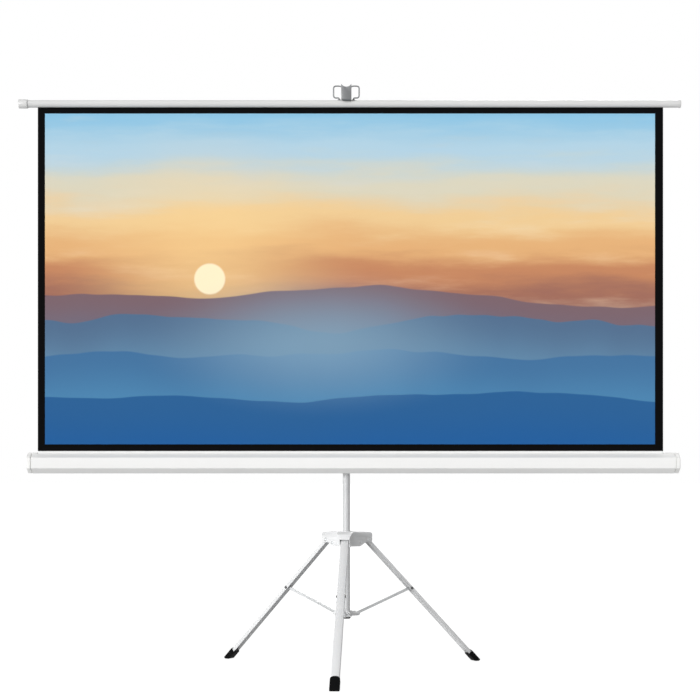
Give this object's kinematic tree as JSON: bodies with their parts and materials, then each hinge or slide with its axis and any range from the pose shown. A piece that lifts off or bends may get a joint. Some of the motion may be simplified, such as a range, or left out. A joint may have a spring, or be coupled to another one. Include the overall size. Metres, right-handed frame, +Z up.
{
  "type": "tripod projection screen",
  "caption": "Free-standing tripod projection screen: hexagonal spring-roller case on a telescopic mast with folding legs, cloth drawn up to a slotted top bar hooked on the mast.",
  "frame": {"origin": "middle of the object's bounding box, on the floor that the three boots stand on", "axes": "+X to the viewer's right along the case and the top bar, +Y from the viewer through the cloth to the mast, +Z up along the mast"},
  "size_m": [2.8986, 1.0756, 2.568],
  "materials": {
    "white_paint": "satin white powder coat",
    "white_plastic": "fine moulded white",
    "grey_steel": "satin grey",
    "pale_steel": "satin zinc plate",
    "dark_steel": "dark plated",
    "black_rubber": "moulded matt black",
    "black_plastic": "fine moulded black",
    "screen_cloth": "coated cloth with a black border and back"
  },
  "bodies": {
    "mast": {"mast_outer_tube": "white_paint", "mast_bottom_plug": "black_plastic", "spider_collar": "grey_steel", "mast_lock_collar": "black_plastic"},
    "mast_knob": {"mast_lock_knob": "black_plastic"},
    "hub": {"tripod_hub": "white_paint", "hub_pin_front": "pale_steel", "hub_pin_right": "pale_steel", "hub_pin_left": "pale_steel", "hub_rivet_front": "pale_steel", "hub_rivet_right": "pale_steel", "hub_rivet_left": "pale_steel"},
    "hub_knob": {"hub_lock_knob": "black_plastic"},
    "front_leg": {"leg_front": "white_paint", "boot_front": "black_rubber", "strut_pin_front": "dark_steel"},
    "right_leg": {"leg_right": "white_paint", "boot_right": "black_rubber", "strut_pin_right": "dark_steel"},
    "left_leg": {"leg_left": "white_paint", "boot_left": "black_rubber", "strut_pin_left": "dark_steel"},
    "front_strut": {"strut_front": "pale_steel"},
    "right_strut": {"strut_right": "pale_steel"},
    "left_strut": {"strut_left": "pale_steel"},
    "carrier_knob": {"carrier_lock_knob": "black_plastic"},
    "extension": {"mast_inner_tube": "pale_steel", "extension_bush": "black_plastic", "mast_top_plug": "black_plastic", "mast_hook": "grey_steel", "hook_screw": "dark_steel"},
    "carrier": {"carrier_sleeve": "black_plastic", "case_pivot_bolt": "dark_steel", "pivot_washer": "white_plastic", "case_bracket": "grey_steel", "bracket_screw_1": "dark_steel", "bracket_screw_2": "dark_steel", "bracket_screw_3": "dark_steel", "bracket_screw_4": "dark_steel", "case_shell": "white_paint", "end_cap_left": "white_plastic", "end_cap_right": "white_plastic", "cap_screw_left": "dark_steel", "cap_screw_right": "dark_steel", "spring_arbor": "grey_steel", "roller_spring": "grey_steel", "screen_fabric": "screen_cloth"},
    "roller": {"roller_tube": "pale_steel", "wound_cloth": "screen_cloth", "roller_plug_right": "black_plastic", "roller_plug_left": "black_plastic"},
    "hanging_bar": {"top_bar": "white_paint", "top_bar_ferrule": "white_plastic", "top_bar_end_plug": "white_plastic", "handle_wire": "grey_steel", "handle_bushing_left": "black_plastic", "handle_bushing_right": "black_plastic"}
  },
  "joints": [
    {"name": "hub_slide", "type": "slide", "parent": "mast", "child": "hub", "axis": [0, 0, 1], "range_m": [0, 0.26]},
    {"name": "front_leg_fold", "type": "hinge", "parent": "hub", "child": "front_leg", "pos_m": [-0.02184, 0.04316, 0.573], "axis": [0.9976, -0.0698, 0], "range_deg": [0, 36.6]},
    {"name": "right_leg_fold", "type": "hinge", "parent": "hub", "child": "right_leg", "pos_m": [0.07308, 0.18388, 0.573], "axis": [-0.4384, 0.8988, 0], "range_deg": [0, 36.6]},
    {"name": "left_leg_fold", "type": "hinge", "parent": "hub", "child": "left_leg", "pos_m": [-0.09625, 0.19572, 0.573], "axis": [-0.5592, -0.829, 0], "range_deg": [0, 36.6]},
    {"name": "front_strut_fold", "type": "hinge", "parent": "front_leg", "child": "front_strut", "pos_m": [-0.03739, -0.1793, 0.349], "axis": [0.9976, -0.0698, 0], "range_deg": [-86.9, 0]},
    {"name": "right_strut_fold", "type": "hinge", "parent": "right_leg", "child": "right_strut", "pos_m": [0.27351, 0.28164, 0.349], "axis": [-0.4384, 0.8988, 0], "range_deg": [-86.9, 0]},
    {"name": "left_strut_fold", "type": "hinge", "parent": "left_leg", "child": "left_strut", "pos_m": [-0.28112, 0.32042, 0.349], "axis": [-0.5592, -0.829, 0], "range_deg": [-86.9, 0]},
    {"name": "hub_knob_turn", "type": "hinge", "parent": "hub", "child": "hub_knob", "pos_m": [-0.012, 0.18381, 0.578], "axis": [0.0698, 0.9976, 0], "range_deg": [0, 270]},
    {"name": "carrier_slide", "type": "slide", "parent": "mast", "child": "carrier", "axis": [0, 0, 1], "range_m": [-0.05, 0.15]},
    {"name": "carrier_knob_turn", "type": "hinge", "parent": "carrier", "child": "carrier_knob", "pos_m": [-0.015, 0.17922, 0.914], "axis": [0, 1, 0], "range_deg": [0, 270]},
    {"name": "extension_slide", "type": "slide", "parent": "carrier", "child": "extension", "axis": [0, 0, 1], "range_m": [-0.88, 0]},
    {"name": "mast_knob_turn", "type": "hinge", "parent": "mast", "child": "mast_knob", "pos_m": [-0.015, 0.17292, 1.514], "axis": [0, 1, 0], "range_deg": [0, 270]},
    {"name": "screen_pull", "type": "slide", "parent": "carrier", "child": "hanging_bar", "axis": [0, 0, 1], "range_m": [-0.881, 0], "deforming": ["screen_fabric"]},
    {"name": "roller_spin", "type": "hinge", "parent": "carrier", "child": "roller", "pos_m": [0.0156, 0.07292, 0.914], "axis": [1, 0, 0], "range_deg": [0, 2525], "stiffness_Nm_per_rad": 0.01, "springref_deg": 3437.75}
  ],
  "couplings": [
    {"joint": "front_leg_fold", "follows": "hub_slide", "rad_per_m": 2.4513},
    {"joint": "right_leg_fold", "follows": "hub_slide", "rad_per_m": 2.4513},
    {"joint": "left_leg_fold", "follows": "hub_slide", "rad_per_m": 2.4513},
    {"joint": "front_strut_fold", "follows": "hub_slide", "rad_per_m": -5.8269},
    {"joint": "right_strut_fold", "follows": "hub_slide", "rad_per_m": -5.8269},
    {"joint": "left_strut_fold", "follows": "hub_slide", "rad_per_m": -5.8269},
    {"joint": "screen_pull", "follows": "extension_slide", "ratio": 1},
    {"joint": "roller_spin", "follows": "extension_slide", "rad_per_m": -50}
  ]
}
